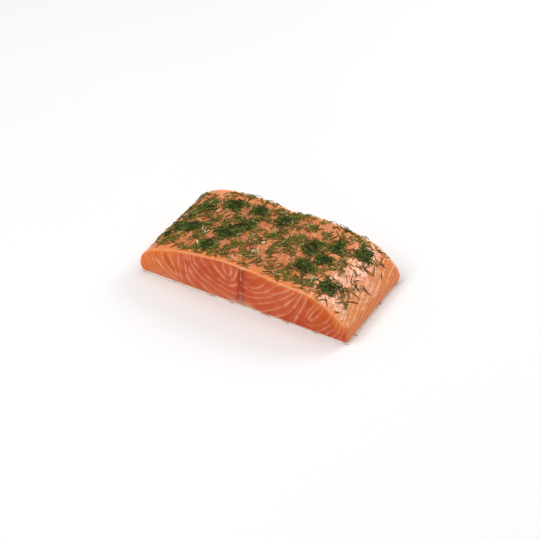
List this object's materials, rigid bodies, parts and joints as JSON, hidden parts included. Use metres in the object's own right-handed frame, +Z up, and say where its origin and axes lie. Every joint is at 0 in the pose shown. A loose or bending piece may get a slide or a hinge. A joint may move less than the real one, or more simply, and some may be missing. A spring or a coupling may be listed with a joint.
{
  "type": "smoked salmon fillet",
  "caption": "Thick cross-cut portion of cured salmon fillet lying on its skin, domed top sprinkled with chopped dill, layered muscle showing on the cut faces.",
  "frame": {"origin": "under the middle of the portion, on the surface that the skin lies on", "axes": "+X from the fish's back edge to its belly edge, +Y from the near cut to the far cut, +Z up"},
  "size_m": [0.1695, 0.0802, 0.0361],
  "materials": {
    "salmon_flesh": "moist, soft and slightly translucent",
    "salmon_skin": "silvery and scaly, satin"
  },
  "bodies": {
    "root": {"salmon_flesh": "salmon_flesh", "salmon_skin": "salmon_skin"}
  },
  "joints": []
}
